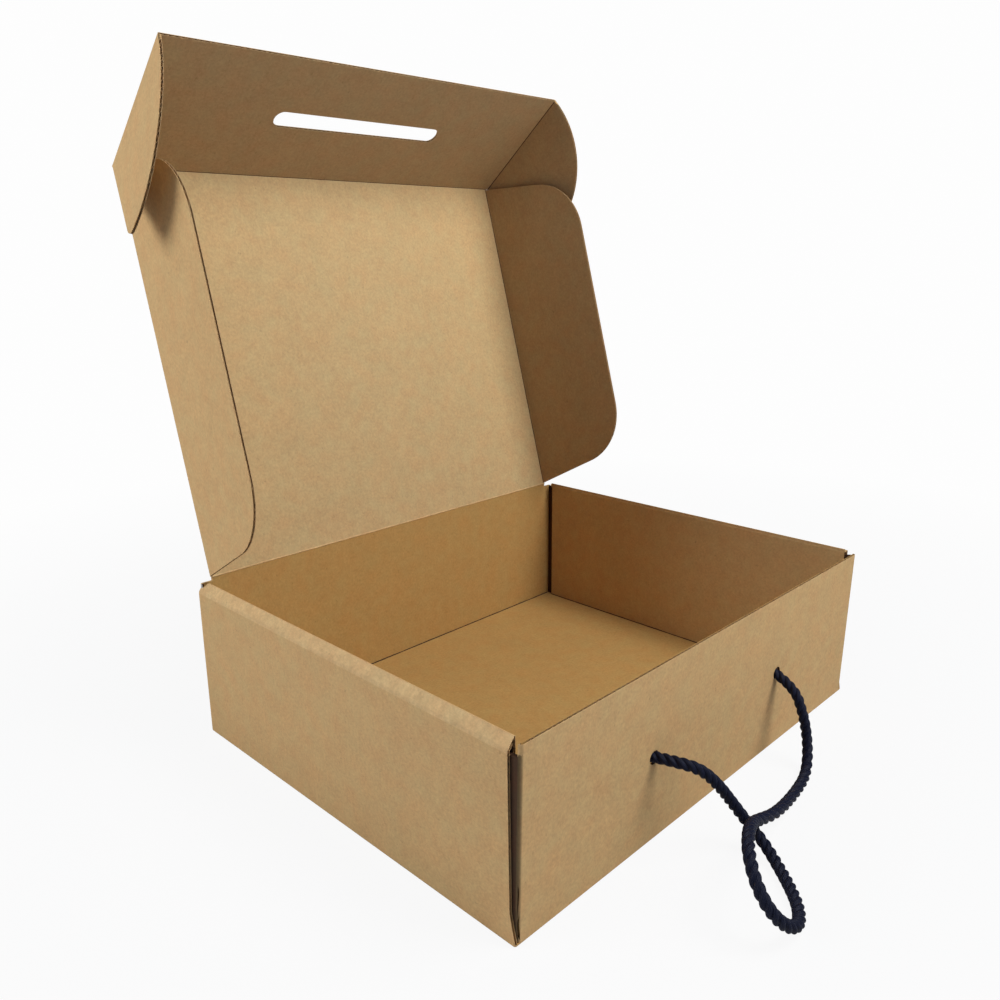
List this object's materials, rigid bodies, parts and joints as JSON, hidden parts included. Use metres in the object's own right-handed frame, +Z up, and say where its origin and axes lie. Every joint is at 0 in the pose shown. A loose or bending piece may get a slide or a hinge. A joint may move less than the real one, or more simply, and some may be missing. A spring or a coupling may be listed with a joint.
{
  "type": "rope handle box",
  "caption": "Folding mailer box of kraft corrugated board, lid open, with a dark twisted rope carry handle knotted through its front wall.",
  "frame": {"origin": "middle of the tray's underside", "axes": "+X to the right along the front wall, +Y from the front wall to the lid's hinge, +Z up"},
  "size_m": [0.3186, 0.3852, 0.3721],
  "materials": {
    "kraft_board": "flecked kraft liner, faint flute lines",
    "rope": "dark navy three-strand twist"
  },
  "bodies": {
    "tray": {"tray": "kraft_board", "rope_handle": "rope", "knot_left": "rope", "knot_right": "rope"},
    "lid": {"lid_panel": "kraft_board"},
    "side_flap_left": {"side_flap_left": "kraft_board"},
    "side_flap_right": {"side_flap_right": "kraft_board"},
    "tuck_flap": {"tuck_flap": "kraft_board"},
    "ear_left": {"ear_left": "kraft_board"},
    "ear_right": {"ear_right": "kraft_board"}
  },
  "joints": [
    {"name": "lid_hinge", "type": "hinge", "parent": "tray", "child": "lid", "pos_m": [0, 0.12125, 0.0938], "axis": [1, 0, 0], "range_deg": [-75, 105.4]},
    {"name": "tuck_fold", "type": "hinge", "parent": "lid", "child": "tuck_flap", "pos_m": [0, 0.18246, 0.31602], "axis": [1, 0, 0], "range_deg": [-24.75, 34.78]},
    {"name": "side_flap_left_fold", "type": "hinge", "parent": "lid", "child": "side_flap_left", "pos_m": [-0.1413, 0.15186, 0.20491], "axis": [0, 0.2656, 0.9641], "range_deg": [-17.25, 24.24]},
    {"name": "side_flap_right_fold", "type": "hinge", "parent": "lid", "child": "side_flap_right", "pos_m": [0.1413, 0.15186, 0.20491], "axis": [0, -0.2656, -0.9641], "range_deg": [-17.25, 24.24]},
    {"name": "ear_left_fold", "type": "hinge", "parent": "tuck_flap", "child": "ear_left", "pos_m": [-0.1441, 0.18246, 0.31602], "axis": [0, -0.7727, 0.6347], "range_deg": [-13.12, 18.45]},
    {"name": "ear_right_fold", "type": "hinge", "parent": "tuck_flap", "child": "ear_right", "pos_m": [0.1441, 0.18246, 0.31602], "axis": [0, 0.7727, -0.6347], "range_deg": [-10.5, 14.76]}
  ],
  "couplings": [
    {"joint": "tuck_fold", "follows": "lid_hinge", "ratio": 0.33},
    {"joint": "side_flap_left_fold", "follows": "lid_hinge", "ratio": 0.23},
    {"joint": "side_flap_right_fold", "follows": "lid_hinge", "ratio": 0.23},
    {"joint": "ear_left_fold", "follows": "lid_hinge", "ratio": 0.175},
    {"joint": "ear_right_fold", "follows": "lid_hinge", "ratio": 0.14}
  ]
}
